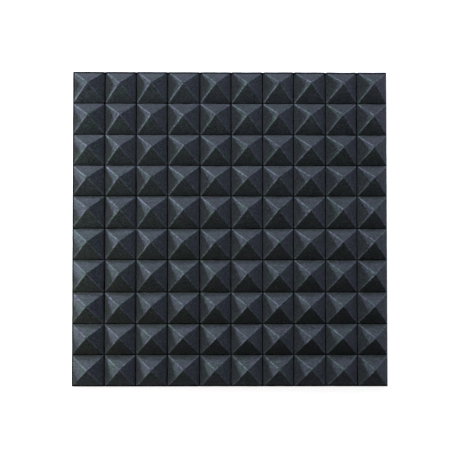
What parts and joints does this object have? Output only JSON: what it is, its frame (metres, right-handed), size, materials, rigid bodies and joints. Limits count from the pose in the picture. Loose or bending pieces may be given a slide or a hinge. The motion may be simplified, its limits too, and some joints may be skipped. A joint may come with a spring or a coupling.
{
  "type": "acoustic foam panel",
  "caption": "Square acoustic foam tile with a field of blunt pyramids, deep grooves between them, and a flat self-adhesive back under a split release liner.",
  "frame": {"origin": "middle of the back face, on the surface that the tile lies on", "axes": "+Z out of the back towards the pyramid tips, +Y towards the edge that is at the top when the tile hangs on a wall, +X to the right seen from the front"},
  "size_m": [0.5, 0.5, 0.0505],
  "materials": {
    "charcoal_foam": "open-cell polyurethane foam, charcoal, dull, with cut pores",
    "adhesive": "clear-yellow tacky acrylic film on a thin carrier",
    "liner_paper": "siliconised release paper, satin"
  },
  "bodies": {
    "root": {"foam_panel": "charcoal_foam", "adhesive_film": "adhesive", "release_liner_left": "liner_paper", "release_liner_right": "liner_paper"}
  },
  "joints": []
}
